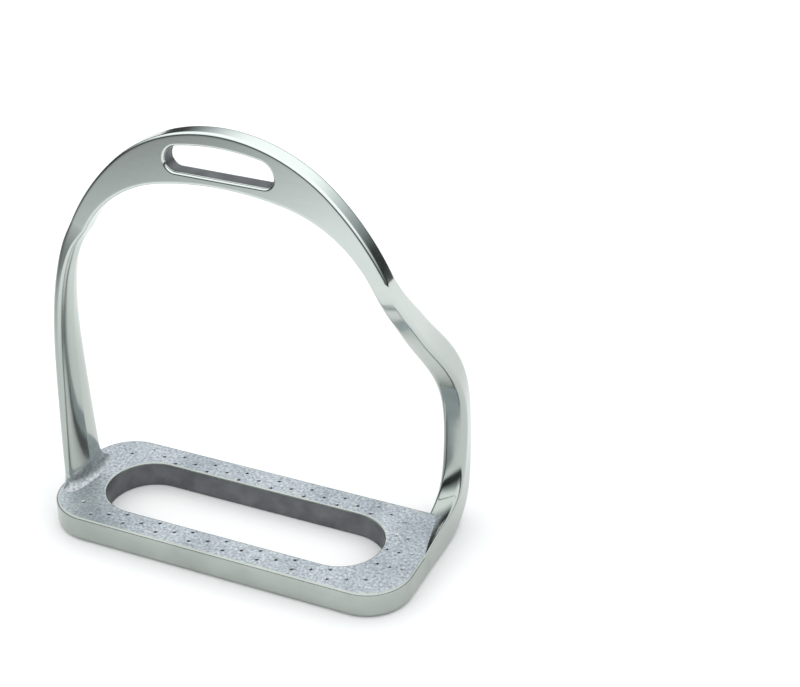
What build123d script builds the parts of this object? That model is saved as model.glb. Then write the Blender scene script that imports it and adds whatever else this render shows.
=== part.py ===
from build123d import *
import math
import os

# Bent-leg safety stirrup iron: one polished stainless casting.
# Millimetres, +Z up. The origin is the centre of the tread plate's underside.
# -X is the straight branch, +X the bent one, which bows out toward +Y.
# The casting is written as its four named regions, which meet face to face.

# Tread plate
PLATE_LENGTH = 135.4
PLATE_WIDTH = 51.0
PLATE_THICK = 9.9
PLATE_CORNER_R = 16.5
BENT_END_RUN_OUT = 1.2
SLOT_LENGTH = 105.6
SLOT_WIDTH = 30.4
PLATE_TOP_EDGE_R = 0.9
PLATE_BOTTOM_EDGE_R = 1.8
SLOT_EDGE_R = 0.5

# Punched grip marks on the tread
PUNCH_DIAMETER = 1.3
PUNCH_TIP_DIAMETER = 0.3
PUNCH_DEPTH = 0.5
PUNCH_GROUP_PITCH = 13.0
PUNCH_STEP_X = 6.0
PUNCH_STEP_Y = 2.4
PUNCH_OUTER_ROW_Y = 21.6
PUNCH_GROUPS = 8
BENT_END_ROWS_Y = (-7.8, 0.6, 8.8)
BENT_END_COLUMNS_X = (54.6, 59.0)
BENT_END_LAST_MARKS = ((63.4, -7.0), (63.4, 1.4))
STRAIGHT_END_MARKS = ((-54.6, -16.4), (-54.6, 16.4))

# Bow: the arch over the foot, with the stirrup leather's eye
BOW_TOP_Z = 153.2
BOW_THICK = 6.4
BOW_EDGE_R = 1.1
OUTER_CROWN_R = 55.0
OUTER_CROWN_ANGLE = 42.8
OUTER_SHOULDER_R = 88.0
INNER_CROWN_Z = 135.0
INNER_CROWN_R = 104.5
INNER_CROWN_ANGLE = 12.15
INNER_SHOULDER_R = 43.0
SEAM_ANGLE = 63.5

# Eye for the stirrup leather
EYE_LENGTH = 37.8
EYE_SILL_Z = 138.1
EYE_TOP_Z = 148.4
EYE_TOP_R = 75.0
EYE_LOWER_CORNER_R = 3.2
EYE_UPPER_CORNER_R = 4.5
EYE_RIM_R = 0.8

half_length = PLATE_LENGTH / 2
half_width = PLATE_WIDTH / 2


def on_circle(centre, radius, angle):
    """Point of a circle in the bow's plane, its angle measured from the vertical."""
    turn = math.radians(angle)
    return (centre[0] + radius * math.sin(turn), centre[1] + radius * math.cos(turn))


def mirrored(point):
    return (-point[0], point[1])


# Circles of the bow's outline for +X: each shoulder arc is tangent to its crown arc.
outer_crown_centre = (0, BOW_TOP_Z - OUTER_CROWN_R)
outer_shoulder_centre = on_circle(
    outer_crown_centre, OUTER_CROWN_R - OUTER_SHOULDER_R, OUTER_CROWN_ANGLE
)
inner_crown_centre = (0, INNER_CROWN_Z - INNER_CROWN_R)
inner_shoulder_centre = on_circle(
    inner_crown_centre, INNER_CROWN_R - INNER_SHOULDER_R, INNER_CROWN_ANGLE
)

# Seam between the bow and a branch: square to the shoulder, at SEAM_ANGLE from the vertical.
seam_out = on_circle(outer_shoulder_centre, OUTER_SHOULDER_R, SEAM_ANGLE)


def seam_width():
    """Distance inward along the seam from the outer shoulder arc to the inner one."""
    turn = math.radians(SEAM_ANGLE)
    inward = (-math.sin(turn), -math.cos(turn))
    to_seam = (seam_out[0] - inner_shoulder_centre[0], seam_out[1] - inner_shoulder_centre[1])
    along = to_seam[0] * inward[0] + to_seam[1] * inward[1]
    square = to_seam[0] ** 2 + to_seam[1] ** 2 - INNER_SHOULDER_R**2
    return -along - math.sqrt(along**2 - square)


SEAM_WIDTH = seam_width()
seam_in = on_circle(seam_out, -SEAM_WIDTH, SEAM_ANGLE)
seam_mid = on_circle(seam_out, -SEAM_WIDTH / 2, SEAM_ANGLE)


def arc(centre, radius, start, end):
    """Arc between two angles from the vertical."""
    middle = (start + end) / 2
    return ThreePointArc(*[on_circle(centre, radius, angle) for angle in (start, middle, end)])


def angle_on(centre, point):
    """Angle from the vertical at which a point lies, seen from a circle's centre."""
    return math.degrees(math.atan2(point[0] - centre[0], point[1] - centre[1]))


def shoulder_pair(centre, radius, start, end):
    """The same shoulder arc on both sides of the bow."""
    right = arc(centre, radius, start, end)
    return [right, right.mirror(Plane.YZ)]


def bow_outline():
    """Bow seen from the front: crown and shoulder arcs, closed by the two seams."""
    outer = [arc(outer_crown_centre, OUTER_CROWN_R, -OUTER_CROWN_ANGLE, OUTER_CROWN_ANGLE)]
    outer += shoulder_pair(
        outer_shoulder_centre, OUTER_SHOULDER_R, OUTER_CROWN_ANGLE, SEAM_ANGLE
    )
    inner = [arc(inner_crown_centre, INNER_CROWN_R, -INNER_CROWN_ANGLE, INNER_CROWN_ANGLE)]
    inner_end = angle_on(inner_shoulder_centre, seam_in)
    inner += shoulder_pair(inner_shoulder_centre, INNER_SHOULDER_R, INNER_CROWN_ANGLE, inner_end)
    seams = [Line(seam_out, seam_in), Line(mirrored(seam_out), mirrored(seam_in))]
    return make_face(outer + inner + seams)


def eye_outline():
    """Eye: a level sill, an arched top and rounded ends."""
    half = EYE_LENGTH / 2
    shoulder_z = EYE_TOP_Z - EYE_TOP_R + math.sqrt(EYE_TOP_R**2 - half**2)
    face = make_face(
        [
            Line((-half, EYE_SILL_Z), (half, EYE_SILL_Z)),
            Line((half, EYE_SILL_Z), (half, shoulder_z)),
            ThreePointArc((half, shoulder_z), (0, EYE_TOP_Z), (-half, shoulder_z)),
            Line((-half, shoulder_z), (-half, EYE_SILL_Z)),
        ]
    )
    face = fillet(face.vertices().sort_by(Axis.Y)[:2], EYE_LOWER_CORNER_R)
    return fillet(face.vertices().sort_by(Axis.Y)[-2:], EYE_UPPER_CORNER_R)


def front_and_back(body):
    faces = body.faces().sort_by(Axis.Y)
    return [faces[0], faces[-1]]


def make_bow():
    """The seams stay sharp, so that the branches meet them over their whole face."""
    body = extrude(Plane.XZ * bow_outline(), BOW_THICK / 2, both=True)
    edges = [edge for face in front_and_back(body) for edge in face.edges()]
    body = fillet([edge for edge in edges if edge.length > 2 * SEAM_WIDTH], BOW_EDGE_R)
    body -= extrude(Plane.XZ * eye_outline(), BOW_THICK, both=True)
    eye_rims = [face.inner_wires().edges() for face in front_and_back(body)]
    return fillet(eye_rims[0] + eye_rims[1], EYE_RIM_R)


def bar_section(place, along, thick, width, twist, corner):
    """Rounded bar section at a place, square to the direction it runs in.

    Its thickness lies toward X, its width across that, and twist turns it, in degrees.
    """
    side = (Vector(1, 0, 0) - along * along.X).normalized()
    plane = Plane(origin=place, x_dir=side, z_dir=along).rotated((0, 0, twist))
    return plane * RectangleRounded(thick, width, corner)


# The straight branch stays in the plane of the bow. It thins across X, widens
# along Y, and spreads into a foot that runs flush with the plate's end.
# Each station is (x, y, z, lean in degrees, thickness, width, corner radius).
STRAIGHT_STATIONS = [
    (-seam_mid[0], 0, seam_mid[1], 90 - SEAM_ANGLE, SEAM_WIDTH, BOW_THICK, BOW_EDGE_R),
    (-57.4, -0.1, 104.5, 21.0, 5.6, 7.2, 1.4),
    (-60.5, -0.2, 95.5, 15.0, 5.5, 8.8, 1.9),
    (-63.0, -0.3, 82.5, 8.0, 5.6, 10.8, 2.2),
    (-64.3, -0.4, 68.0, 3.5, 5.8, 12.7, 2.4),
    (-64.6, -0.5, 51.0, 0.5, 6.0, 14.7, 2.5),
    (-64.6, -0.6, 33.0, 0, 6.1, 17.2, 2.6),
    (-64.4, -0.6, 20.0, 0, 6.4, 19.4, 2.7),
    (-64.1, -0.6, 14.5, 0, 7.0, 21.2, 2.8),
    (-63.4, -0.6, 11.6, 0, 8.4, 23.8, 3.2),
    (-62.3, -0.6, 9.4, 0, 10.6, 28.0, 4.2),
]


def make_straight_branch():
    sections = []
    for x, y, z, lean, thick, width, corner in STRAIGHT_STATIONS:
        turn = math.radians(lean)
        along = Vector(-math.sin(turn), 0, -math.cos(turn))
        sections.append(bar_section(Vector(x, y, z), along, thick, width, 0, corner))
    return loft(sections)


# The bent branch leaves the bow in its plane, swings out to +Y, drops, and
# turns back under itself into the end of the plate. Each station is
# (x, y, z, thickness, width, twist in degrees, corner radius).
BENT_STATIONS = [
    (seam_mid[0], 0, seam_mid[1], SEAM_WIDTH, BOW_THICK, 0, BOW_EDGE_R),
    (55.1, 1.8, 107.8, 6.0, 6.8, 1, 1.3),
    (56.0, 4.7, 102.6, 6.1, 7.5, 2, 1.5),
    (57.0, 11.4, 94.4, 6.5, 8.6, -1, 1.8),
    (58.0, 20.8, 83.4, 7.2, 9.4, -3, 2.0),
    (59.7, 30.2, 72.4, 8.0, 10.0, -5, 2.1),
    (61.5, 37.4, 61.6, 8.5, 9.9, -8, 2.2),
    (62.7, 41.5, 50.6, 8.6, 9.7, -11, 2.2),
    (63.5, 42.4, 38.4, 8.5, 9.8, -11, 2.2),
    (64.0, 41.5, 27.0, 8.4, 10.5, -8, 2.2),
    (64.4, 39.6, 18.2, 8.2, 12.0, -4, 2.2),
    (64.6, 35.8, 11.6, 8.1, 13.4, -1, 2.0),
    (64.6, 30.0, 8.0, 8.0, 13.8, 0, 1.7),
    (64.4, 23.6, 6.9, 7.9, 13.2, 0, 1.5),
    (64.0, 15.0, 6.9, 7.7, 10.8, 0, 1.5),
    (63.6, 5.5, 6.7, 7.4, 7.4, 0, 1.5),
]


def make_bent_branch():
    """Every section but the first stands square to the line through its neighbours."""
    places = [Vector(*station[:3]) for station in BENT_STATIONS]
    last = len(places) - 1
    turn = math.radians(90 - SEAM_ANGLE)
    along = Vector(math.sin(turn), 0, -math.cos(turn))
    sections = []
    for index, (_, _, _, thick, width, twist, corner) in enumerate(BENT_STATIONS):
        if index > 0:
            along = (places[min(index + 1, last)] - places[index - 1]).normalized()
        sections.append(bar_section(places[index], along, thick, width, twist, corner))
    return loft(sections)


def tread_outline():
    """Plate from above: three round corners, and a square one under the bent branch."""
    bent_end = half_length + BENT_END_RUN_OUT
    face = make_face(
        Polyline(
            (-half_length, -half_width),
            (half_length, -half_width),
            (bent_end, half_width),
            (-half_length, half_width),
            close=True,
        )
    )
    round_corners = [v for v in face.vertices() if v.X < half_length + 0.1]
    return fillet(round_corners, PLATE_CORNER_R)


def punch_places():
    """Grip marks: slanted threes along both rails, and threes across each end."""
    first_x = -(PUNCH_GROUPS - 1) * PUNCH_GROUP_PITCH / 2 - PUNCH_STEP_X / 2
    places = []
    for group in range(PUNCH_GROUPS):
        for mark in range(3):
            x = first_x + group * PUNCH_GROUP_PITCH + mark * PUNCH_STEP_X
            y = PUNCH_OUTER_ROW_Y - mark * PUNCH_STEP_Y
            places += [(x, -y), (x, y)]
    places += [(x, y) for x in BENT_END_COLUMNS_X for y in BENT_END_ROWS_Y]
    places += BENT_END_LAST_MARKS
    places += STRAIGHT_END_MARKS
    return places


def top_of(body):
    return body.faces().sort_by(Axis.Z)[-1]


def bottom_of(body):
    return body.faces().sort_by(Axis.Z)[0]


def make_tread_plate():
    body = extrude(tread_outline(), PLATE_THICK)
    body -= extrude(SlotOverall(SLOT_LENGTH, SLOT_WIDTH), PLATE_THICK)
    body = fillet(top_of(body).outer_wire().edges(), PLATE_TOP_EDGE_R)
    body = fillet(bottom_of(body).outer_wire().edges(), PLATE_BOTTOM_EDGE_R)
    body = fillet(top_of(body).inner_wires().edges(), SLOT_EDGE_R)
    body = fillet(bottom_of(body).inner_wires().edges(), SLOT_EDGE_R)
    tip_down = (Align.CENTER, Align.CENTER, Align.MAX)
    mark = Cone(PUNCH_TIP_DIAMETER / 2, PUNCH_DIAMETER / 2, PUNCH_DEPTH, align=tip_down)
    for x, y in punch_places():
        body -= Pos(x, y, PLATE_THICK) * mark
    return body


os.makedirs("parts", exist_ok=True)
bow = make_bow()
tread_plate = make_tread_plate()
straight_branch = make_straight_branch() - tread_plate
bent_branch = make_bent_branch() - tread_plate
nodes = {
    "bow": bow,
    "tread_plate": tread_plate,
    "straight_branch": straight_branch,
    "bent_branch": bent_branch,
}
for name, shape in nodes.items():
    export_step(shape, f"parts/{name}.step")
    print(name, round(shape.volume), shape.bounding_box())
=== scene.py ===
import bpy
import math
import numpy as np
from mathutils import Matrix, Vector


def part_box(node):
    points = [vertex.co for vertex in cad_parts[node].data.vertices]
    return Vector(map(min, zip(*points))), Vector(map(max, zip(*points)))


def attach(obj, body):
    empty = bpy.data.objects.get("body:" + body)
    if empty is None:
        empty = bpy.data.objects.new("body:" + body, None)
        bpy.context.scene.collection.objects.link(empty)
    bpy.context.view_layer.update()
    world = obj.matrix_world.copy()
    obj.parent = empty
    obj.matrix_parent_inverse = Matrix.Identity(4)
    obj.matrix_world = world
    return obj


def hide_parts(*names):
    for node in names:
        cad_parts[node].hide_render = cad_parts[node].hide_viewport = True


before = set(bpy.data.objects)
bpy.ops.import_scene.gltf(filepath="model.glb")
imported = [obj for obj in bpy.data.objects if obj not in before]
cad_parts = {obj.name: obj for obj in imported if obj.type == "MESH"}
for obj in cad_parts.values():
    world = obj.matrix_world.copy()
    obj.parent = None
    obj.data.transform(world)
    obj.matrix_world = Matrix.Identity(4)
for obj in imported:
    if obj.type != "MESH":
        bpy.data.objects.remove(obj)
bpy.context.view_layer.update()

# ---------------------------------------------------------------------------
# Tread plate: the slotted bar that the boot stands on, cast in stainless steel
# in one piece with the iron. Its top is blasted satin and punched with grip
# marks, its side is ground and polished, and the slot is left as it was cast.
# ---------------------------------------------------------------------------

MM = 0.001


def box_mm(node):
    """Lowest and highest corner of a CAD node, in millimetres."""
    low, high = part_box(node)
    return np.array(low) / MM, np.array(high) / MM


plate_low, plate_high = box_mm("tread_plate")
straight_end_x = plate_low[0]
bent_end_x = plate_high[0]
plate_half_width = plate_high[1]
plate_top = plate_high[2]

SLOT_HALF_LENGTH = 52.8
SLOT_HALF_WIDTH = 15.2
CORNER_R = 16.5
BENT_CORNER_R = 2.0
TOP_EDGE_R = 0.9
BOTTOM_EDGE_R = 1.8
SLOT_EDGE_R = 0.5

PUNCH_R = 0.75
PUNCH_DEPTH = 0.55
PUNCH_BURR = 0.05
PUNCH_PIT_R = 0.66
PUNCH_GROUPS = 8
PUNCH_GROUP_PITCH = 13.0
PUNCH_STEP_X = 6.0
PUNCH_STEP_Y = 2.4
PUNCH_OUTER_ROW_Y = 21.6
BENT_END_ROWS_Y = (-7.8, 0.6, 8.8)
BENT_END_COLUMNS_X = (54.6, 59.0)
BENT_END_LAST_MARKS = ((63.4, -7.0), (63.4, 1.4))
STRAIGHT_END_MARKS = ((-54.6, -16.4), (-54.6, 16.4))


def unit(vectors):
    return vectors / np.linalg.norm(vectors, axis=-1, keepdims=True)


def rounded_outline(corners, radii, step=0.02):
    """Closed outline with round corners, as dense points, outward normals and arc lengths.

    Each corner is an arc tangent to its two sides, and the sides between are straight.
    The whole is read again at equal steps, so that every side has points too.
    """
    corners = np.array(corners, float)
    places, normals = [], []
    for index, radius in enumerate(radii):
        here = corners[index]
        back = unit(corners[index - 1] - here)
        ahead = unit(corners[(index + 1) % len(corners)] - here)
        half_angle = math.acos(float(back @ ahead)) / 2
        middle = here + unit(back + ahead) * radius / math.sin(half_angle)
        first = np.array([-back[1], back[0]])
        last = np.array([ahead[1], -ahead[0]])
        start = math.atan2(first[1], first[0])
        turn = (math.atan2(last[1], last[0]) - start) % (2 * math.pi)
        angles = start + turn * np.linspace(0, 1, max(8, int(radius * turn / step)))
        ring = np.stack([np.cos(angles), np.sin(angles)], 1)
        places.append(middle + radius * ring)
        normals.append(ring)
    places, normals = np.concatenate(places), np.concatenate(normals)
    places = np.concatenate([places, places[:1]])
    normals = np.concatenate([normals, normals[:1]])
    lengths = np.linalg.norm(np.diff(places, axis=0), axis=1)
    along = np.concatenate([[0], np.cumsum(lengths)])
    even = np.linspace(0, along[-1], int(along[-1] / step))
    places = np.stack([np.interp(even, along, places[:, k]) for k in (0, 1)], 1)
    normals = np.stack([np.interp(even, along, normals[:, k]) for k in (0, 1)], 1)
    return places, unit(normals), even


def read_outline(outline, at):
    """Points and unit normals of an outline at the given arc lengths."""
    places, normals, along = outline
    at = at % along[-1]
    point = np.stack([np.interp(at, along, places[:, k]) for k in (0, 1)], 1)
    normal = np.stack([np.interp(at, along, normals[:, k]) for k in (0, 1)], 1)
    return point, unit(normal)


def arc_length_at(outline, target):
    """Arc length of the outline's point that is nearest to a target."""
    places, _, along = outline
    return along[np.argmin(np.linalg.norm(places - np.array(target), axis=1))]


def quarter(count):
    """Angles from 0 to a quarter turn."""
    return np.linspace(0, math.pi / 2, count)


MERGE_DISTANCE = 0.0002
MERGE_OFFSET = 0.0000613


def closed_mesh(name, patches, materials, caps=()):
    """One smooth mesh out of grids of points, whose coincident points are merged.

    A patch is (points, normals, material index), with rows x columns x 3 arrays in
    millimetres, and one index for the patch or one for each quad. A quad whose corners
    fall together becomes a triangle or goes. A cap is a ring of points closed by a fan
    to its middle.
    """
    points, normals, quads, slots = [], [], [], []
    start = 0
    for grid, grid_normals, slot in patches:
        rows, columns = grid.shape[:2]
        index = start + np.arange(rows * columns).reshape(rows, columns)
        quad = np.stack([index[:-1, :-1], index[:-1, 1:], index[1:, 1:], index[1:, :-1]], -1)
        points.append(grid.reshape(-1, 3))
        normals.append(grid_normals.reshape(-1, 3))
        quads.append(quad.reshape(-1, 4))
        slots.append(np.broadcast_to(slot, quad.shape[:2]).ravel())
        start += rows * columns
    for ring in caps:
        count = len(ring)
        around = start + np.arange(count)
        middle = np.full(count, start + count)
        points += [ring, ring.mean(0, keepdims=True)]
        normals += [np.zeros((count, 3)), np.zeros((1, 3))]
        quads.append(np.stack([around, np.roll(around, -1), middle, middle], 1))
        slots.append(np.zeros(count, int))
        start += count + 1
    points, normals = np.concatenate(points), np.concatenate(normals)
    cell = np.floor((points + MERGE_OFFSET) / MERGE_DISTANCE)
    _, first, merged = np.unique(cell, axis=0, return_index=True, return_inverse=True)
    quads, slots = merged.reshape(-1)[np.concatenate(quads)], np.concatenate(slots)
    repeats = np.stack([quads[:, k] == quads[:, k - 1] for k in range(4)], 1)
    whole = ~repeats.any(1) & (quads[:, 0] != quads[:, 2]) & (quads[:, 1] != quads[:, 3])
    single = repeats.sum(1) == 1
    triangles = quads[single][~repeats[single]].reshape(-1, 3)
    proper = (triangles[:, 0] != triangles[:, 1]) & (triangles[:, 1] != triangles[:, 2])
    proper &= triangles[:, 0] != triangles[:, 2]
    faces = quads[whole].tolist() + triangles[proper].tolist()
    summed = np.zeros((len(first), 3))
    np.add.at(summed, merged.reshape(-1), normals)
    length = np.linalg.norm(summed, axis=1, keepdims=True)
    mesh = bpy.data.meshes.new(name)
    mesh.from_pydata(points[first] * MM, [], faces)
    mesh.polygons.foreach_set(
        "material_index", np.concatenate([slots[whole], slots[single][proper]])
    )
    mesh.polygons.foreach_set("use_smooth", np.ones(len(faces), bool))
    for material in materials:
        mesh.materials.append(material)
    mesh.update()
    safe = np.where(length > 1e-9, summed / np.maximum(length, 1e-9), [[0, 0, 1]])
    mesh.normals_split_custom_set_from_vertices(safe.tolist())
    piece = bpy.data.objects.new(name, mesh)
    bpy.context.scene.collection.objects.link(piece)
    return piece


def grid_normals(grid):
    """Unit normals of a grid: columns' direction crossed with rows' direction."""
    cross = np.cross(np.gradient(grid, axis=1), np.gradient(grid, axis=0))
    return cross / np.maximum(np.linalg.norm(cross, axis=-1, keepdims=True), 1e-12)


def linear(hex_colour):
    """sRGB hex colour as linear RGBA."""
    parts = [int(hex_colour[k : k + 2], 16) / 255 for k in (1, 3, 5)]
    return [c / 12.92 if c <= 0.04045 else ((c + 0.055) / 1.055) ** 2.4 for c in parts] + [1]


def add(material, kind, settings=(), links=(), values=(), stops=(), **inputs):
    """Adds a node: its settings, links from other sockets, input values and colour stops.

    links and values go by the input's name, or by its number where names repeat. A stop
    is (place, linear colour).
    """
    node = material.node_tree.nodes.new(kind)
    for key, value in dict(settings).items():
        setattr(node, key, value)
    for key, value in dict(values).items():
        node.inputs[key].default_value = value
    for key, value in inputs.items():
        node.inputs[key.replace("_", " ")].default_value = value
    for key, socket in dict(links).items():
        material.node_tree.links.new(socket, node.inputs[key])
    if stops:
        elements = node.color_ramp.elements
        while len(elements) < len(stops):
            elements.new(0.5)
        for element, (place, colour) in zip(elements, stops):
            element.position = place
            element.color = colour
    return node


def new_material(name):
    material = bpy.data.materials.new(name)
    material.use_nodes = True
    material.node_tree.nodes.clear()
    return material


def grey(value):
    return (value, value, value, 1)


# A noise's scale is how many of its grains there are in a metre.
CLOUDS_PER_METRE = 70.0
GRIT_PER_METRE = 1000.0
RIM_HAZE_PER_METRE = 60.0
FLECKS_PER_METRE = 900.0
BLOTCHES_PER_METRE = 160.0


def blasted_tread_steel():
    """Stainless steel, bead-blasted after casting: blue-grey satin with a bright fine grit.

    The grit is 1 mm across, with finer grains in it, over slow clouds of 14 mm. Real
    blasting is some 0.2 mm, too fine to show at this distance, so it is drawn coarser.
    """
    material = new_material("blasted_tread_steel")
    place = add(material, "ShaderNodeTexCoord").outputs["Object"]
    clouds = add(
        material,
        "ShaderNodeTexNoise",
        links={"Vector": place},
        Scale=CLOUDS_PER_METRE,
        Detail=2.0,
    ).outputs["Fac"]
    grit = add(
        material,
        "ShaderNodeTexNoise",
        links={"Vector": place},
        Scale=GRIT_PER_METRE,
        Detail=4.0,
    ).outputs["Fac"]
    slow = add(
        material,
        "ShaderNodeValToRGB",
        links={"Fac": clouds},
        stops=[(0.3, linear("#B4BABF")), (0.7, linear("#CDD2D5"))],
    )
    fine = add(
        material,
        "ShaderNodeValToRGB",
        links={"Fac": grit},
        stops=[(0.3, linear("#BCC1C5")), (0.5, linear("#E2E5E7")), (0.68, linear("#FFFFFF"))],
    )
    colour = add(
        material,
        "ShaderNodeMix",
        {"data_type": "RGBA", "blend_type": "MULTIPLY"},
        {6: slow.outputs["Color"], 7: fine.outputs["Color"]},
        Factor=1.0,
    )
    rough = add(
        material,
        "ShaderNodeValToRGB",
        links={"Fac": grit},
        stops=[(0.35, grey(0.5)), (0.65, grey(0.32))],
    )
    bump = add(
        material,
        "ShaderNodeBump",
        links={"Height": grit},
        Strength=0.3,
        Distance=0.0002,
    )
    shader = add(
        material,
        "ShaderNodeBsdfPrincipled",
        links={
            "Base Color": colour.outputs[2],
            "Roughness": rough.outputs["Color"],
            "Normal": bump.outputs["Normal"],
        },
        Metallic=1.0,
    )
    add(material, "ShaderNodeOutputMaterial", links={"Surface": shader.outputs["BSDF"]})
    return material


def ground_steel():
    """Stainless steel of the plate's rim, ground and lightly buffed.

    It is a little greener and duller than the bars, in patches of 17 mm.
    """
    material = new_material("ground_stainless_steel")
    place = add(material, "ShaderNodeTexCoord").outputs["Object"]
    haze = add(
        material,
        "ShaderNodeTexNoise",
        links={"Vector": place},
        Scale=RIM_HAZE_PER_METRE,
        Detail=3.0,
    ).outputs["Fac"]
    colour = add(
        material,
        "ShaderNodeValToRGB",
        links={"Fac": haze},
        stops=[(0.3, linear("#A5ABA6")), (0.7, linear("#B7BDB8"))],
    )
    rough = add(
        material,
        "ShaderNodeValToRGB",
        links={"Fac": haze},
        stops=[(0.3, grey(0.2)), (0.7, grey(0.28))],
    )
    shader = add(
        material,
        "ShaderNodeBsdfPrincipled",
        links={"Base Color": colour.outputs["Color"], "Roughness": rough.outputs["Color"]},
        Metallic=1.0,
    )
    add(material, "ShaderNodeOutputMaterial", links={"Surface": shader.outputs["BSDF"]})
    return material


def punch_grime():
    """Dirt and blasting dust packed in the grip marks: nearly black, quite matt.

    Its flecks are 1.1 mm across, about the size of a mark.
    """
    material = new_material("grime_in_grip_marks")
    place = add(material, "ShaderNodeTexCoord").outputs["Object"]
    fleck = add(
        material,
        "ShaderNodeTexNoise",
        links={"Vector": place},
        Scale=FLECKS_PER_METRE,
        Detail=2.0,
    )
    colour = add(
        material,
        "ShaderNodeValToRGB",
        links={"Fac": fleck.outputs["Fac"]},
        stops=[(0.35, linear("#1E2023")), (0.7, linear("#3A3D41"))],
    )
    shader = add(
        material,
        "ShaderNodeBsdfPrincipled",
        links={"Base Color": colour.outputs["Color"]},
        Roughness=0.8,
    )
    add(material, "ShaderNodeOutputMaterial", links={"Surface": shader.outputs["BSDF"]})
    return material


def as_cast_steel():
    """Stainless steel as it came from the ceramic mould: dark grey, rough and grainy.

    The mould's texture is blotches of 6 mm, with finer grain in them.
    """
    material = new_material("as_cast_stainless_steel")
    place = add(material, "ShaderNodeTexCoord").outputs["Object"]
    blotch = add(
        material,
        "ShaderNodeTexNoise",
        links={"Vector": place},
        Scale=BLOTCHES_PER_METRE,
        Detail=5.0,
    ).outputs["Fac"]
    colour = add(
        material,
        "ShaderNodeValToRGB",
        links={"Fac": blotch},
        stops=[(0.3, linear("#66686B")), (0.7, linear("#7C7E80"))],
    )
    bump = add(
        material,
        "ShaderNodeBump",
        links={"Height": blotch},
        Strength=0.15,
        Distance=0.0003,
    )
    shader = add(
        material,
        "ShaderNodeBsdfPrincipled",
        links={"Base Color": colour.outputs["Color"], "Normal": bump.outputs["Normal"]},
        Metallic=1.0,
        Roughness=0.5,
    )
    add(material, "ShaderNodeOutputMaterial", links={"Surface": shader.outputs["BSDF"]})
    return material


def punch_places():
    """Grip marks: slanted threes along both rails, and threes across each end."""
    group, mark = np.meshgrid(np.arange(PUNCH_GROUPS), np.arange(3), indexing="ij")
    first_x = -(PUNCH_GROUPS - 1) * PUNCH_GROUP_PITCH / 2 - PUNCH_STEP_X / 2
    x = (first_x + group * PUNCH_GROUP_PITCH + mark * PUNCH_STEP_X).ravel()
    y = (PUNCH_OUTER_ROW_Y - mark * PUNCH_STEP_Y).ravel()
    rails = [np.stack([x, side * y], 1) for side in (-1, 1)]
    ends = [(x, y) for x in BENT_END_COLUMNS_X for y in BENT_END_ROWS_Y]
    ends += BENT_END_LAST_MARKS
    ends += STRAIGHT_END_MARKS
    return np.concatenate(rails + [np.array(ends)])


RAIL_STEPS = 300
END_STEPS = 190
TOP_ROWS = 44
WALL_ROWS = 10
SLOT_WALL_ROWS = 8
UNDER_ROWS = 6
EDGE_POINTS = 9
SLOT_EDGE_POINTS = 7
BLASTED, GROUND, AS_CAST, GRIME = range(4)


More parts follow.
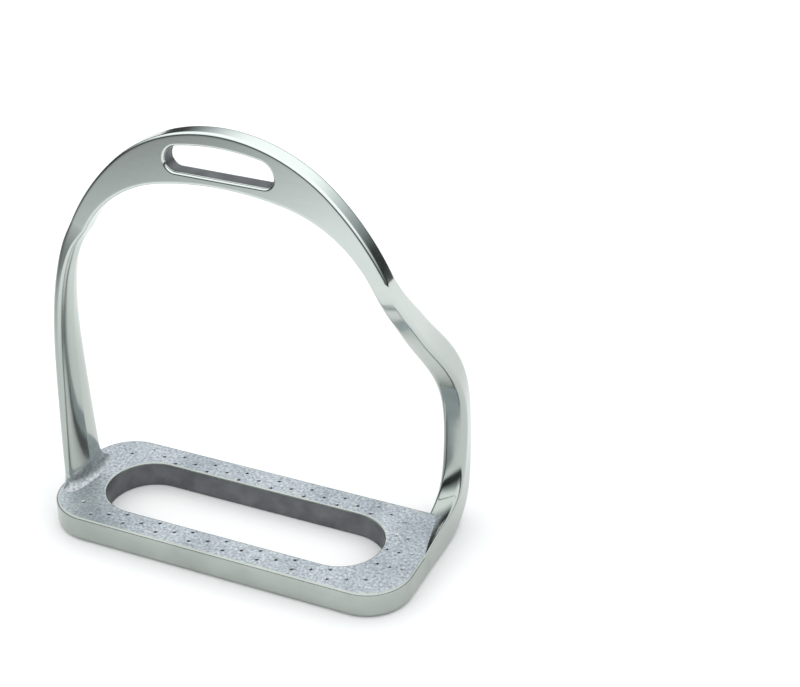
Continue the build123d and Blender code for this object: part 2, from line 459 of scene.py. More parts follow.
def tread_patches():
    """Profile carried round the slot, in a ring from the slot's edge to the outer outline.

    Rail stations run straight across. End stations fan out: equal shares of the slot's
    half circle meet equal shares of the outline round that end.
    """
    half_length = -straight_end_x
    corners = [
        (straight_end_x, -plate_half_width),
        (half_length, -plate_half_width),
        (bent_end_x, plate_half_width),
        (straight_end_x, plate_half_width),
    ]
    outer = rounded_outline(corners, [CORNER_R, CORNER_R, BENT_CORNER_R, CORNER_R])
    slot_centre = SLOT_HALF_LENGTH - SLOT_HALF_WIDTH
    gates = [
        (-slot_centre, -plate_half_width),
        (slot_centre, -plate_half_width),
        (slot_centre, plate_half_width),
        (-slot_centre, plate_half_width),
    ]
    marks = [arc_length_at(outer, gate) for gate in gates]
    total = outer[2][-1]
    counts = [RAIL_STEPS, END_STEPS, RAIL_STEPS, END_STEPS]
    stretches, slot_point, slot_normal = [], [], []
    for index, count in enumerate(counts):
        share = np.arange(count) / count
        start = marks[index]
        length = (marks[(index + 1) % 4] - start) % total
        stretches.append(start + length * share)
        if index % 2 == 0:
            side = index - 1
            x = side * slot_centre * (1 - 2 * share)
            slot_point.append(np.stack([x, np.full(count, side * SLOT_HALF_WIDTH)], 1))
            slot_normal.append(np.stack([np.zeros(count), np.full(count, side)], 1))
        else:
            side = 2 - index
            angle = math.pi * share - math.pi / 2
            ring = side * np.stack([np.cos(angle), np.sin(angle)], 1)
            slot_point.append(ring * SLOT_HALF_WIDTH + [side * slot_centre, 0])
            slot_normal.append(ring)
    outer_point, outer_normal = read_outline(outer, np.concatenate(stretches))
    slot_point, slot_normal = np.concatenate(slot_point), np.concatenate(slot_normal)

    def ring_at(point, normal, inset, height):
        """Rows of the plate's ring: the outline drawn in by inset, at a height."""
        flat = point[:, None] - normal[:, None] * np.asarray(inset)[None, :, None]
        z = np.broadcast_to(np.asarray(height)[None, :, None], flat.shape[:2] + (1,))
        return np.concatenate([flat, z], 2)

    q = quarter(SLOT_EDGE_POINTS)
    slot_top = ring_at(
        slot_point,
        slot_normal,
        -SLOT_EDGE_R * (1 - np.cos(q)),
        plate_top - SLOT_EDGE_R * (1 - np.sin(q)),
    )
    slot_bottom = ring_at(
        slot_point,
        slot_normal,
        -SLOT_EDGE_R * (1 - np.sin(q)),
        SLOT_EDGE_R * (1 - np.cos(q)),
    )
    q = quarter(EDGE_POINTS)
    outer_top = ring_at(
        outer_point,
        outer_normal,
        TOP_EDGE_R * (1 - np.sin(q)),
        plate_top - TOP_EDGE_R * (1 - np.cos(q)),
    )
    outer_bottom = ring_at(
        outer_point,
        outer_normal,
        BOTTOM_EDGE_R * (1 - np.cos(q)),
        BOTTOM_EDGE_R * (1 - np.sin(q)),
    )

    def between(first, last, count):
        share = np.linspace(0, 1, count)[None, :, None]
        return first[:, None] * (1 - share) + last[:, None] * share

    top = between(slot_top[:, -1], outer_top[:, 0], TOP_ROWS)
    places = punch_places()
    away = np.linalg.norm(top[:, :, None, :2] - places[None, None], axis=3).min(2)
    dent = -PUNCH_DEPTH * np.clip(1 - away / PUNCH_R, 0, 1) ** 0.8
    burr = PUNCH_BURR * np.exp(-(((away - 1.25 * PUNCH_R) / (0.35 * PUNCH_R)) ** 2))
    top[:, 1:-1, 2] += (dent + burr)[:, 1:-1]
    side_wall = between(outer_top[:, -1], outer_bottom[:, 0], WALL_ROWS)
    under = between(outer_bottom[:, -1], slot_bottom[:, 0], UNDER_ROWS)
    slot_wall = between(slot_bottom[:, -1], slot_top[:, 0], SLOT_WALL_ROWS)
    in_pit = away < PUNCH_PIT_R
    in_pit = in_pit & np.roll(in_pit, -1, 0)
    top_slots = np.where(in_pit[:, 1:] & in_pit[:, :-1], GRIME, BLASTED)
    profile = [
        (top, top_slots),
        (outer_top, GROUND),
        (side_wall, GROUND),
        (outer_bottom, GROUND),
        (under, AS_CAST),
        (slot_bottom, AS_CAST),
        (slot_wall, AS_CAST),
        (slot_top, GROUND),
    ]
    patches = []
    for grid, slot in profile:
        grid = np.concatenate([grid, grid[:1]])
        normals = grid_normals(grid)
        wrap = grid_normals(np.concatenate([grid[-2:-1], grid, grid[1:2]]))[1:-1]
        normals[[0, -1]] = wrap[[0, -1]]
        patches.append((grid, normals, slot))
    return patches


ground = ground_steel()
grime = punch_grime()
blasted = blasted_tread_steel()
as_cast = as_cast_steel()
tread = closed_mesh("slotted_tread_plate", tread_patches(), [blasted, ground, as_cast, grime])
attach(tread, "root")
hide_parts("tread_plate")

# ---------------------------------------------------------------------------
# Bow and branches: the arch over the foot with the leather's eye, and the two
# side bars. They are one ground and buffed bar of changing section, cut here at
# the seams of the CAD nodes. The eye's walls are left as they were cast.
# ---------------------------------------------------------------------------

bow_low, bow_high = box_mm("bow")
bow_top = bow_high[2]
bow_half_width = bow_high[1]

OUTER_CROWN_R = 55.0
OUTER_CROWN_ANGLE = math.radians(42.8)
OUTER_SHOULDER_R = 88.0
CROWN_DEPTH = 18.2
INNER_CROWN_R = 104.5
INNER_CROWN_ANGLE = math.radians(12.15)
INNER_SHOULDER_R = 43.0
SEAM_ANGLE = math.radians(63.5)
BOW_EDGE_R = 1.15

EYE_HALF_LENGTH = 18.9
EYE_SILL_DROP = 15.1
EYE_TOP_DROP = 4.8
EYE_TOP_R = 75.0
EYE_LOWER_R = 3.6
EYE_RIM_R = 0.9
EYE_RIM_POINTS = 7
EYE_WALL_POINTS = 6


def on_circle(centre, radius, angle):
    """Points of a circle in the bow's plane, angles measured from the vertical."""
    return np.stack([centre[0] + radius * np.sin(angle), centre[1] + radius * np.cos(angle)], -1)


outer_crown_centre = np.array([0, bow_top - OUTER_CROWN_R])
outer_shoulder_centre = on_circle(
    outer_crown_centre, OUTER_CROWN_R - OUTER_SHOULDER_R, OUTER_CROWN_ANGLE
)
inner_crown_centre = np.array([0, bow_top - CROWN_DEPTH - INNER_CROWN_R])
inner_shoulder_centre = on_circle(
    inner_crown_centre, INNER_CROWN_R - INNER_SHOULDER_R, INNER_CROWN_ANGLE
)
seam_out = on_circle(outer_shoulder_centre, OUTER_SHOULDER_R, SEAM_ANGLE)
inward = -np.array([math.sin(SEAM_ANGLE), math.cos(SEAM_ANGLE)])
to_seam = seam_out - inner_shoulder_centre
reach = to_seam @ inward
seam_width = -reach - math.sqrt(reach**2 - to_seam @ to_seam + INNER_SHOULDER_R**2)
seam_in = seam_out + inward * seam_width


def two_arc_edge(crown, shoulder, share, start_x, end_angle):
    """Points of a bow edge from start_x to the seam, at equal shares of its length.

    crown is (centre, radius, angle where it ends) and shoulder is (centre, radius).
    """
    start = math.asin(start_x / crown[1])
    crown_length = (crown[2] - start) * crown[1]
    length = crown_length + (end_angle - crown[2]) * shoulder[1]
    along = share * length
    on_crown = on_circle(crown[0], crown[1], start + along / crown[1])
    on_shoulder = on_circle(shoulder[0], shoulder[1], crown[2] + (along - crown_length) / shoulder[1])
    return np.where((along < crown_length)[:, None], on_crown, on_shoulder)


def bow_stations(eye_count, shoulder_count):
    """Outer and inner edge points of the bow from seam to seam, left to right.

    Over the eye the stations stand upright and crowd toward its ends. Over each
    shoulder they turn from upright to square with the branch.
    """
    eye_reach = EYE_HALF_LENGTH + EYE_RIM_R
    share = np.arange(1, shoulder_count + 1) / shoulder_count
    seam_in_angle = math.atan2(*(seam_in - inner_shoulder_centre))
    outer_side = two_arc_edge(
        (outer_crown_centre, OUTER_CROWN_R, OUTER_CROWN_ANGLE),
        (outer_shoulder_centre, OUTER_SHOULDER_R),
        share,
        eye_reach,
        SEAM_ANGLE,
    )
    inner_side = two_arc_edge(
        (inner_crown_centre, INNER_CROWN_R, INNER_CROWN_ANGLE),
        (inner_shoulder_centre, INNER_SHOULDER_R),
        share,
        eye_reach,
        seam_in_angle,
    )
    x = eye_reach * np.sin(np.linspace(-1, 1, eye_count) * math.pi / 2)
    outer_z = outer_crown_centre[1] + np.sqrt(OUTER_CROWN_R**2 - x**2)
    inner_z = inner_crown_centre[1] + np.sqrt(INNER_CROWN_R**2 - x**2)
    flip = np.array([-1, 1])
    outer = [outer_side[::-1] * flip, np.stack([x, outer_z], 1), outer_side]
    inner = [inner_side[::-1] * flip, np.stack([x, inner_z], 1), inner_side]
    return np.concatenate(outer), np.concatenate(inner)


EYE_COUNT = 161
SHOULDER_COUNT = 90
STRAIGHT_COUNT = 170
FOOT_COUNT = 24
BENT_COUNT = 260

# The straight branch stays in the plane of the bow. It thins across X and widens along Y.
# Each row is (inset from the plate's end, y, height over the tread, lean in degrees,
# thickness, width, and the rounded share of each).
STRAIGHT_ROWS = [
    (10.0, -0.1, 94.6, 21.5, 5.6, 7.2, 0.6, 0.5),
    (6.95, -0.3, 85.6, 14.6, 5.3, 9.1, 0.85, 0.75),
    (4.55, -0.4, 72.6, 8.0, 5.5, 11.2, 0.95, 0.85),
    (3.45, -0.5, 58.1, 3.5, 5.7, 13.2, 0.95, 0.88),
    (3.15, -0.5, 42.1, 0.4, 6.0, 15.3, 0.95, 0.88),
    (3.15, -0.5, 24.1, 0.0, 6.1, 17.6, 0.95, 0.88),
    (3.30, -0.5, 10.1, 0.0, 6.2, 19.4, 0.95, 0.88),
    (3.40, -0.5, 6.0, 0.0, 6.3, 19.9, 0.95, 0.88),
]
INNER_RIDGE = 1.2
FOOT_FILLET_HEIGHT = 6.0
FOOT_FILLET_INNER = 4.5
FOOT_FILLET_SIDE = 4.5
FOOT_FILLET_OUTER = 0.15
FOOT_SINK = 0.35

# The bent branch swings out to +Y, drops, and turns back under itself into the plate's
# end. Each row is (inset from the plate's end, y, height over the tread, thickness,
# width, twist in degrees, the rounded share of each, and the inward fall of its front).
BENT_ROWS = [
    (12.8, 4.5, 92.9, 6.2, 7.4, -8, 0.42, 0.4, 0.0),
    (11.8, 11.2, 84.6, 6.7, 8.5, -11, 0.45, 0.42, 0.0),
    (10.9, 20.8, 73.5, 7.2, 9.4, -10, 0.45, 0.42, 0.0),
    (9.2, 30.2, 62.5, 8.0, 10.0, -9, 0.46, 0.42, 0.0),
    (7.4, 37.4, 51.7, 8.5, 9.9, -8, 0.48, 0.42, 0.0),
    (6.2, 41.5, 40.7, 8.6, 9.7, -11, 0.48, 0.42, 0.0),
    (5.4, 42.4, 28.5, 8.5, 9.8, -11, 0.48, 0.42, 0.0),
    (4.9, 41.5, 17.1, 8.4, 10.5, -8, 0.48, 0.42, 0.05),
    (4.5, 39.6, 8.3, 8.4, 12.0, -4, 0.45, 0.4, 0.2),
    (4.3, 35.8, 1.7, 8.6, 13.4, -1, 0.4, 0.36, 0.4),
    (4.35, 30.0, -1.9, 8.9, 13.8, 0, 0.3, 0.32, 0.6),
    (4.45, 23.6, -3.0, 9.1, 13.2, 0, 0.25, 0.28, 0.8),
    (4.75, 15.0, -3.4, 9.2, 12.2, 0, 0.2, 0.25, 0.95),
    (5.04, 6.0, -4.0, 9.2, 10.4, 0, 0.2, 0.25, 1.0),
    (5.55, -2.0, -4.9, 9.2, 9.2, 0, 0.2, 0.25, 1.0),
]


def natural_spline(knots, values, at):
    """Cubic spline through the values at the knots, without curvature at its two ends."""
    step = np.diff(knots)
    count = len(knots)
    system = np.eye(count)
    inside = np.arange(1, count - 1)
    system[inside, inside - 1] = step[:-1]
    system[inside, inside] = 2 * (step[:-1] + step[1:])
    system[inside, inside + 1] = step[1:]
    slope = np.diff(values, axis=0) / step[:, None]
    right = np.zeros_like(values)
    right[1:-1] = 6 * np.diff(slope, axis=0)
    bend = np.linalg.solve(system, right)
    k = np.clip(np.searchsorted(knots, at) - 1, 0, count - 2)
    h = step[k][:, None]
    u = (at[:, None] - knots[k][:, None]) / h
    v = 1 - u
    curve = (v**3 - v) * bend[k] + (u**3 - u) * bend[k + 1]
    return v * values[k] + u * values[k + 1] + curve * h**2 / 6


def branch_spline(rows, lead_in, count):
    """Stations from the seam to a branch's end, smooth in place and in section.

    rows holds x, y, z first. lead_in are rows of the bow before the seam, which give
    the branch the bow's own slope and curvature there.
    """
    table = np.concatenate([lead_in, rows])
    knots = np.concatenate([[0], np.cumsum(np.linalg.norm(np.diff(table[:, :3], axis=0), axis=1))])
    at = np.linspace(knots[len(lead_in) - 1], knots[-1], count + 1)[1:]
    return natural_spline(knots, table, at)


outer_edge, inner_edge = bow_stations(EYE_COUNT, SHOULDER_COUNT)
bow_middle = (outer_edge + inner_edge) / 2
bow_outward = unit(outer_edge - inner_edge)
bow_half = np.linalg.norm(outer_edge - inner_edge, axis=1) / 2
bow_count = len(bow_half)

# A station is x, y, z, the section's outward direction N (3), its crosswise direction
# B (3), half thickness, half width, the sizes of the rounded corners along N and B, the
# height of the ridge along the inner side, and the share by which the front side falls
# off inward.
zero, one = np.zeros(bow_count), np.ones(bow_count)
bow_table = np.stack(
    [
        bow_middle[:, 0], zero, bow_middle[:, 1],
        bow_outward[:, 0], zero, bow_outward[:, 1],
        zero, one, zero,
        bow_half, bow_half_width * one,
        BOW_EDGE_R * one, BOW_EDGE_R * one, zero, zero,
    ],
    1,
)


def straight_table():
    rows = np.array(STRAIGHT_ROWS)
    lean = np.radians(rows[:, 3])
    nothing, full = np.zeros(len(rows)), np.ones(len(rows))
    thick, width = rows[:, 4] / 2, rows[:, 5] / 2
    return np.stack(
        [
            straight_end_x + rows[:, 0], rows[:, 1], plate_top + rows[:, 2],
            -np.cos(lean), nothing, np.sin(lean),
            nothing, full, nothing,
            thick, width, thick * rows[:, 6], width * rows[:, 7], INNER_RIDGE * full, nothing,
        ],
        1,
    )


def bent_table(lead_in):
    """Sections square to the line through their neighbours, with N the X direction in them."""
    rows = np.array(BENT_ROWS)
    place = np.stack([bent_end_x - rows[:, 0], rows[:, 1], plate_top + rows[:, 2]], 1)
    chain = np.concatenate([lead_in[-1:, :3], place])
    after = np.concatenate([chain[2:], chain[-1:]])
    along = unit(after - chain[:-1])
    outward = unit(np.array([1.0, 0, 0]) - along * along[:, :1])
    across = np.cross(outward, along)
    twist = np.radians(rows[:, 5])[:, None]
    turned = outward * np.cos(twist) - across * np.sin(twist)
    across = across * np.cos(twist) + outward * np.sin(twist)
    thick, width = rows[:, 3:4] / 2, rows[:, 4:5] / 2
    sizes = [thick, width, thick * rows[:, 6:7], width * rows[:, 7:8], 0 * thick, rows[:, 8:9]]
    return np.concatenate([place, turned, across] + sizes, 1)


right_lead = bow_table[-49::16]
left_lead = bow_table[:49:16][::-1]
bent = branch_spline(bent_table(right_lead), right_lead, BENT_COUNT)
straight = branch_spline(straight_table(), left_lead, STRAIGHT_COUNT)


def foot_stations(last):
    """The straight branch's foot: its section spreads in a quarter ellipse to the tread."""
    share = np.sin(quarter(FOOT_COUNT + 1)[1:])
    spread = 1 - np.sqrt(np.clip(1 - share**2, 0, 1))
    foot = np.repeat(last[None], FOOT_COUNT, 0)
    foot[:, 2] = last[2] - (FOOT_FILLET_HEIGHT + FOOT_SINK) * share
    foot[:, 0] += spread * (FOOT_FILLET_INNER - FOOT_FILLET_OUTER) / 2
    grow = spread * (FOOT_FILLET_INNER + FOOT_FILLET_OUTER) / 2
    foot[:, 9] += grow
    foot[:, 10] += spread * FOOT_FILLET_SIDE
    foot[:, 11] += grow
    foot[:, 12] += spread * FOOT_FILLET_SIDE * 0.9
    return foot


foot = foot_stations(straight[-1])
stations = np.concatenate([foot[::-1], straight[::-1], bow_table, bent])
stations[:, 3:6] = unit(stations[:, 3:6])
stations[:, 6:9] = unit(stations[:, 6:9])
first_bow = FOOT_COUNT + STRAIGHT_COUNT
last_bow = first_bow + bow_count - 1

# Where the eye parts the section: its edges, drawn out by the rim's radius.
eye_sill = bow_top - EYE_SILL_DROP
eye_end_z = eye_sill + EYE_LOWER_R
eye_top_centre_z = bow_top - EYE_TOP_DROP - EYE_TOP_R
rise = eye_end_z - eye_top_centre_z
eye_upper_r = (EYE_TOP_R**2 - EYE_HALF_LENGTH**2 - rise**2) / (2 * (EYE_TOP_R - EYE_HALF_LENGTH))
upper_corner_x = EYE_HALF_LENGTH - eye_upper_r
lower_corner_x = EYE_HALF_LENGTH - EYE_LOWER_R
upper_tangent_x = upper_corner_x * (EYE_TOP_R + EYE_RIM_R) / (EYE_TOP_R - eye_upper_r)


def eye_edges(x):
    """Lower and upper edge heights of the eye's rim at x, and the directions out of it.

    The sill is level, the top is an arc, and each end is two arcs that meet upright.
    """
    size = np.minimum(np.abs(x), EYE_HALF_LENGTH + EYE_RIM_R)
    sign = np.sign(x)
    low_r = EYE_LOWER_R + EYE_RIM_R
    low_run = np.clip(size - lower_corner_x, 0, low_r)
    low_drop = np.sqrt(low_r**2 - low_run**2)
    low = eye_end_z - low_drop
    low_out = np.stack([sign * low_run, -low_drop], 1) / low_r
    high_r = eye_upper_r + EYE_RIM_R
    high_run = np.clip(size - upper_corner_x, 0, high_r)
    corner_rise = np.sqrt(np.clip(high_r**2 - high_run**2, 0, None))
    top_r = EYE_TOP_R + EYE_RIM_R
    top_rise = np.sqrt(top_r**2 - size**2)
    on_top = size < upper_tangent_x
    high = np.where(on_top, eye_top_centre_z + top_rise, eye_end_z + corner_rise)
    high_out = np.where(
        on_top[:, None],
        np.stack([sign * size, top_rise], 1) / top_r,
        np.stack([sign * high_run, corner_rise], 1) / high_r,
    )
    return low, high, low_out, high_out


CORNER_POWER = 2.4
CORNER_POINTS = 13
FLAT_POINTS = 9


def half_section(table, split, side):
    """Half of each section, from the front's split line round the side N or -N to the back.

    Straight flats joined by four corners, each a quarter of a curve whose shares of the
    corner's two sizes, raised to CORNER_POWER, add up to one.
    """
    half_thick, half_width, round_n, round_b = (table[:, k, None] for k in (9, 10, 11, 12))
    turn = quarter(CORNER_POINTS)[None, :]
    rise = np.sin(turn) ** (2 / CORNER_POWER)
    fall = np.cos(turn) ** (2 / CORNER_POWER)
    corner_n = half_thick - round_n + round_n * rise
    corner_b = half_width - round_b + round_b * fall
    flat = np.linspace(0, 1, FLAT_POINTS)[None, :-1]
    start = side * split[:, None]
    face_n = start + (corner_n[:, :1] - start) * flat
    face_b = np.broadcast_to(half_width, face_n.shape)
    side_b = corner_b[:, -1:] * (1 - 2 * flat[:, 1:])
    side_n = np.broadcast_to(half_thick, side_b.shape)
    n = np.concatenate([face_n, corner_n, side_n, corner_n[:, ::-1], face_n[:, ::-1]], 1)
    b = np.concatenate([-face_b, -corner_b, -side_b, corner_b[:, ::-1], face_b], 1)
    across_share = np.clip((1 - side * n / half_thick) / 2, 0, 1)
    if side < 0:
        n = n - table[:, 13, None] * np.abs(b) / half_width * n / half_thick
    b = np.where(b < 0, b * (1 - table[:, 14, None] * across_share**0.8), b)
    centre, outward, across = table[:, None, :3], table[:, None, 3:6], table[:, None, 6:9]
    return centre + side * n[:, :, None] * outward + b[:, :, None] * across


eye_first = first_bow + SHOULDER_COUNT
eye_last = eye_first + EYE_COUNT - 1
eye_span = slice(eye_first, eye_last + 1)
eye_x = stations[eye_span, 0]
eye_low, eye_high, eye_low_out, eye_high_out = eye_edges(eye_x)
middle_z = stations[eye_span, 2]

order = np.arange(len(stations))
fade = np.interp(order, [first_bow, eye_first, eye_last, last_bow], [0, 1, 1, 0])
resting = (eye_end_z - middle_z[0]) * fade
low_split, high_split = resting.copy(), resting.copy()
low_split[eye_span] = eye_low - middle_z
high_split[eye_span] = eye_high - middle_z
upper_half = half_section(stations, high_split, 1)
lower_half = half_section(stations, low_split, -1)
upper_normals = -grid_normals(upper_half)
lower_normals = grid_normals(lower_half)


def eye_patch():
    """Ring round the eye: a quarter-round rim in front, the wall, and the rim behind."""
    lower = np.stack([eye_x, eye_low], 1)
    upper = np.stack([eye_x, eye_high], 1)[::-1]
    edge = np.concatenate([lower, upper[1:]])
    out = np.concatenate([eye_low_out, eye_high_out[::-1][1:]])
    q = quarter(EYE_RIM_POINTS)
    wall = bow_half_width - EYE_RIM_R
    across_wall = np.linspace(-wall, wall, EYE_WALL_POINTS + 2)[1:-1]
    depth = np.concatenate([-wall - EYE_RIM_R * np.cos(q), across_wall])
    inset = np.concatenate([EYE_RIM_R * np.sin(q), np.full(EYE_WALL_POINTS, EYE_RIM_R)])
    depth = np.concatenate([depth, wall + EYE_RIM_R * np.sin(q)])
    inset = np.concatenate([inset, EYE_RIM_R * np.cos(q)])
    flat = edge[:, None] - out[:, None] * inset[None, :, None]
    y = np.broadcast_to(depth[None, :], flat.shape[:2])
    grid = np.stack([flat[:, :, 0], y, flat[:, :, 1]], 2)
    away = np.concatenate([np.cos(q), np.zeros(EYE_WALL_POINTS), np.sin(q)])
    lean = np.concatenate([np.sin(q), np.ones(EYE_WALL_POINTS), np.cos(q)])
    facing = np.sign(depth) * away
    normal = np.stack(
        [
            -out[:, None, 0] * lean[None, :],
            np.broadcast_to(facing[None, :], flat.shape[:2]),
            -out[:, None, 1] * lean[None, :],
        ],
        2,
    )
    return grid[:, ::-1], normal[:, ::-1]


# Heights between which the bars' colour is painted darker toward the plate: painted shade.
SHADE_START_Z = 125.0
SHADE_FULL_Z = 60.0
BLAST_START_HEIGHT = 7.5
BLAST_FULL_HEIGHT = 2.5
BLAST_OUTER_X = 66.8
BLAST_INNER_X = 64.5
BLAST_PAST_SIDE = 1.0
BLAST_INSIDE_SIDE = 3.0
HAZE_PER_METRE = 90.0
BUFF_MARKS_PER_METRE = 400.0
BLAST_PITTING = 0.3


def polished_steel():
    """Stainless steel, ground and buffed: a soft mirror with faint buffing marks.

    The haze is in patches of 11 mm and the marks are 2.5 mm. The bars are painted greyer toward
    the plate, a painted shade for the darker reflections low down. Where the feet run out onto the
    tread, the mirror is dulled to the tread's blasted satin.
    """
    material = new_material("polished_stainless_steel")
    place = add(material, "ShaderNodeTexCoord").outputs["Object"]
    apart = add(material, "ShaderNodeSeparateXYZ", links={"Vector": place})
    sideways = add(
        material, "ShaderNodeMath", {"operation": "ABSOLUTE"}, {"Value": apart.outputs["X"]}
    )
    depth = add(
        material, "ShaderNodeMath", {"operation": "ABSOLUTE"}, {"Value": apart.outputs["Y"]}
    )
    low = add(
        material,
        "ShaderNodeMapRange",
        links={"Value": apart.outputs["Z"]},
        From_Min=(plate_top + BLAST_START_HEIGHT) * MM,
        From_Max=(plate_top + BLAST_FULL_HEIGHT) * MM,
    )
    inside = add(
        material,
        "ShaderNodeMapRange",
        links={"Value": sideways.outputs["Value"]},
        From_Min=BLAST_OUTER_X * MM,
        From_Max=BLAST_INNER_X * MM,
    )
    over = add(
        material,
        "ShaderNodeMapRange",
        links={"Value": depth.outputs["Value"]},
        From_Min=(plate_half_width + BLAST_PAST_SIDE) * MM,
        From_Max=(plate_half_width - BLAST_INSIDE_SIDE) * MM,
    )
    low_inside = add(
        material,
        "ShaderNodeMath",
        {"operation": "MULTIPLY"},
        {0: low.outputs["Result"], 1: inside.outputs["Result"]},
    )
    blast = add(
        material,
        "ShaderNodeMath",
        {"operation": "MULTIPLY"},
        {0: low_inside.outputs["Value"], 1: over.outputs["Result"]},
    ).outputs["Value"]
    haze = add(
        material,
        "ShaderNodeTexNoise",
        links={"Vector": place},
        Scale=HAZE_PER_METRE,
        Detail=3.0,
    )
    clean = add(
        material,
        "ShaderNodeValToRGB",
        links={"Fac": haze.outputs["Fac"]},
        stops=[(0.35, grey(0.11)), (0.7, grey(0.17))],
    )
    rough = add(
        material,
        "ShaderNodeMix",
        {"data_type": "RGBA"},
        {"Factor": blast, 6: clean.outputs["Color"]},
        {7: grey(0.42)},
    )
    # Painted shade: the bars' colour goes from #D3D9D5 at the top down to #B0B6B1 toward the plate,
    # for darker reflections low down.
    low_shade = add(
        material,
        "ShaderNodeMapRange",
        links={"Value": apart.outputs["Z"]},
        From_Min=SHADE_START_Z * MM,
        From_Max=SHADE_FULL_Z * MM,
    )
    buffed = add(
        material,
        "ShaderNodeMix",
        {"data_type": "RGBA"},
        {"Factor": low_shade.outputs["Result"]},
        {6: linear("#D3D9D5"), 7: linear("#B0B6B1")},
    )
    grit = add(
        material,
        "ShaderNodeTexNoise",
        links={"Vector": place},
        Scale=GRIT_PER_METRE,
        Detail=4.0,
    ).outputs["Fac"]
    satin = add(
        material,
        "ShaderNodeValToRGB",
        links={"Fac": grit},
        stops=[(0.3, linear("#8F959A")), (0.5, linear("#B0B6B9")), (0.68, linear("#C8CDD0"))],
    )
    colour = add(
        material,
        "ShaderNodeMix",
        {"data_type": "RGBA"},
        {"Factor": blast, 6: buffed.outputs[2], 7: satin.outputs["Color"]},
    )
    marks = add(
        material,
        "ShaderNodeTexNoise",
        links={"Vector": place},
        Scale=BUFF_MARKS_PER_METRE,
        Detail=2.0,
    )
    rubbed = add(
        material,
        "ShaderNodeBump",
        links={"Height": marks.outputs["Fac"]},
        Strength=0.04,
        Distance=0.0002,
    )
    pitting = add(
        material, "ShaderNodeMath", {"operation": "MULTIPLY"}, {0: blast}, {1: BLAST_PITTING}
    )
    bump = add(
        material,
        "ShaderNodeBump",
        links={
            "Height": grit,
            "Strength": pitting.outputs["Value"],
            "Normal": rubbed.outputs["Normal"],
        },
        Distance=0.0002,
    )
    shader = add(
        material,
        "ShaderNodeBsdfPrincipled",
        links={
            "Base Color": colour.outputs[2],
            "Roughness": rough.outputs[2],
            "Normal": bump.outputs["Normal"],
        },
        Metallic=1.0,
    )
    add(material, "ShaderNodeOutputMaterial", links={"Surface": shader.outputs["BSDF"]})
    return material


def frame_piece(name, node, first, last, extra=()):
    """One node's stretch of the bar, closed by a cap at each end."""
    span = slice(first, last + 1)
    patches = [
        (upper_half[span][:, ::-1], upper_normals[span][:, ::-1], 0),
        (lower_half[span], lower_normals[span], 0),
    ]
    patches += extra
    ring = np.concatenate([upper_half[:, :-1], lower_half[:, :0:-1]], 1)
    caps = [ring[first], ring[last][::-1]]
    piece = closed_mesh(name, patches, [polished, as_cast], caps)
    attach(piece, "root")
    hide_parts(node)
    return piece


polished = polished_steel()
eye_grid, eye_normal = eye_patch()
rim = EYE_RIM_POINTS
eye_rings = [
    (eye_grid[:, :rim], eye_normal[:, :rim], 0),
    (eye_grid[:, rim - 1 : -rim + 1], eye_normal[:, rim - 1 : -rim + 1], 1),
    (eye_grid[:, -rim:], eye_normal[:, -rim:], 0),
]
frame_piece("straight_side_bar", "straight_branch", 0, first_bow)
frame_piece("arched_bow", "bow", first_bow, last_bow, eye_rings)
frame_piece("bent_side_bar", "bent_branch", last_bow, len(stations) - 1)

# ---------------------------------------------------------------------------
# Studio: a pale floor with painted shade in front of the iron and to its left, soft light
# from a bright ceiling, and a camera that looks down at the iron from the front right.
# ---------------------------------------------------------------------------

# Painted shade: the floor's colour darkens toward -X and -Y, weighted by these two values.
FLOOR_HALF_SIZE = 3.0
FLOOR_DROP = 0.0001
SHADE_FALL_X = -0.8
SHADE_FALL_Y = -0.6


def floor_with_painted_shade():
    """Matt white card with painted shade: its colour falls off into grey in front of the iron and to
    its left, which darkens the steel's reflections there.
    """
    material = new_material("white_card_with_painted_shade")
    place = add(material, "ShaderNodeTexCoord").outputs["Object"]
    apart = add(material, "ShaderNodeSeparateXYZ", links={"Vector": place})
    left = add(
        material,
        "ShaderNodeMath",
        {"operation": "MULTIPLY"},
        {0: apart.outputs["X"]},
        {1: SHADE_FALL_X},
    )
    away = add(
        material,
        "ShaderNodeMath",
        {"operation": "MULTIPLY_ADD"},
        {0: apart.outputs["Y"], 2: left.outputs["Value"]},
        {1: SHADE_FALL_Y},
    )
    shade_share = add(
        material,
        "ShaderNodeMapRange",
        links={"Value": away.outputs["Value"]},
        From_Min=0.0,
        From_Max=1.0,
    )
    # Painted shade: the card's colour goes from near white to dark grey in front of the iron and to
    # its left.
    colour = add(
        material,
        "ShaderNodeValToRGB",
        links={"Fac": shade_share.outputs["Result"]},
        stops=[
            (0.11, linear("#F6F6F6")),
            (0.2, linear("#EAECEC")),
            (0.24, linear("#D2D4D4")),
            (0.36, linear("#868888")),
            (0.6, linear("#4C4E4E")),
        ],
    )
    shader = add(
        material,
        "ShaderNodeBsdfPrincipled",
        links={"Base Color": colour.outputs["Color"]},
        Roughness=0.9,
    )
    add(material, "ShaderNodeOutputMaterial", links={"Surface": shader.outputs["BSDF"]})
    return material


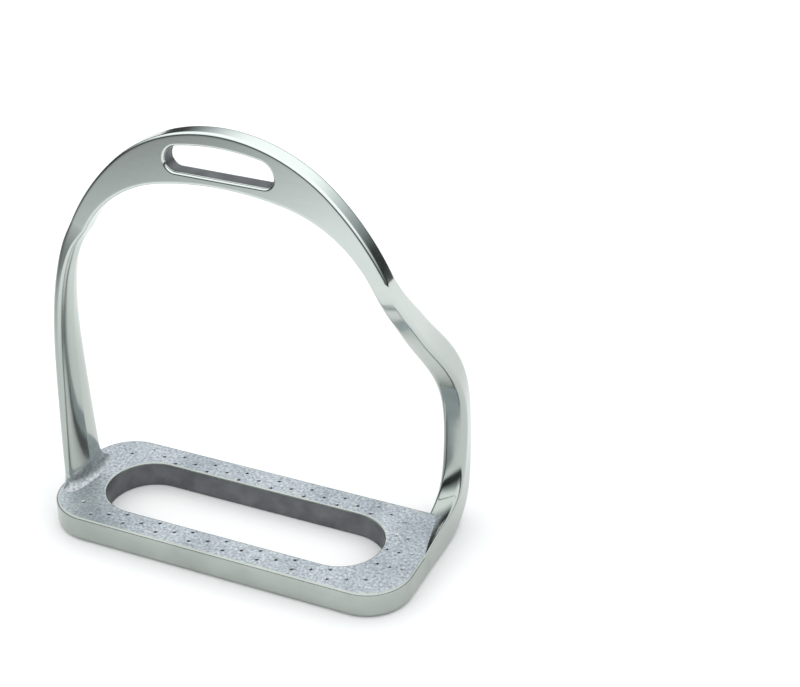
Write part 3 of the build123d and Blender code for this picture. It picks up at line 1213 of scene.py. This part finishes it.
mesh = bpy.data.meshes.new("floor")
half = FLOOR_HALF_SIZE
corners = [(-half, -half, 0), (half, -half, 0), (half, half, 0), (-half, half, 0)]
mesh.from_pydata(corners, [], [(0, 1, 2, 3)])
mesh.materials.append(floor_with_painted_shade())
floor = bpy.data.objects.new("floor", mesh)
bpy.context.scene.collection.objects.link(floor)
floor.location.z = -FLOOR_DROP

STUDIO_STRENGTH = 1.5
world = bpy.data.worlds.new("studio")
bpy.context.scene.world = world
world.use_nodes = True
world.node_tree.nodes.clear()
place = add(world, "ShaderNodeTexCoord").outputs["Generated"]
height = add(world, "ShaderNodeSeparateXYZ", links={"Vector": place})
upward = add(
    world,
    "ShaderNodeMapRange",
    links={"Value": height.outputs["Z"]},
    From_Min=-1.0,
    From_Max=1.0,
)
sky = add(
    world,
    "ShaderNodeValToRGB",
    links={"Fac": upward.outputs["Result"]},
    stops=[
        (0.0, linear("#6A6E6E")),
        (0.46, linear("#2A2C2C")),
        (0.58, linear("#303333")),
        (0.66, linear("#9AA0A2")),
        (0.76, linear("#F4F7F8")),
        (1.0, linear("#FFFFFF")),
    ],
)
glow = add(
    world,
    "ShaderNodeBackground",
    links={"Color": sky.outputs["Color"]},
    Strength=STUDIO_STRENGTH,
)
add(world, "ShaderNodeOutputWorld", links={"Surface": glow.outputs["Background"]})

LENS = 69.94
SENSOR_WIDTH = 36
CAMERA_PLACE = (0.218667, -0.383990, 0.337345)
RIGHT = (0.92279702, 0.38527006, 0.00355525)
UP = (-0.19859813, 0.46773355, 0.86126889)
BACK = (0.33015821, -0.79548243, 0.50813704)
camera_data = bpy.data.cameras.new("camera")
camera = bpy.data.objects.new("camera", camera_data)
bpy.context.scene.collection.objects.link(camera)
camera_data.sensor_width = SENSOR_WIDTH
camera_data.lens = LENS
turn = Matrix((RIGHT, UP, BACK)).transposed().to_4x4()
camera.matrix_world = Matrix.Translation(CAMERA_PLACE) @ turn
bpy.context.scene.camera = camera
bpy.context.scene.view_settings.view_transform = "Standard"
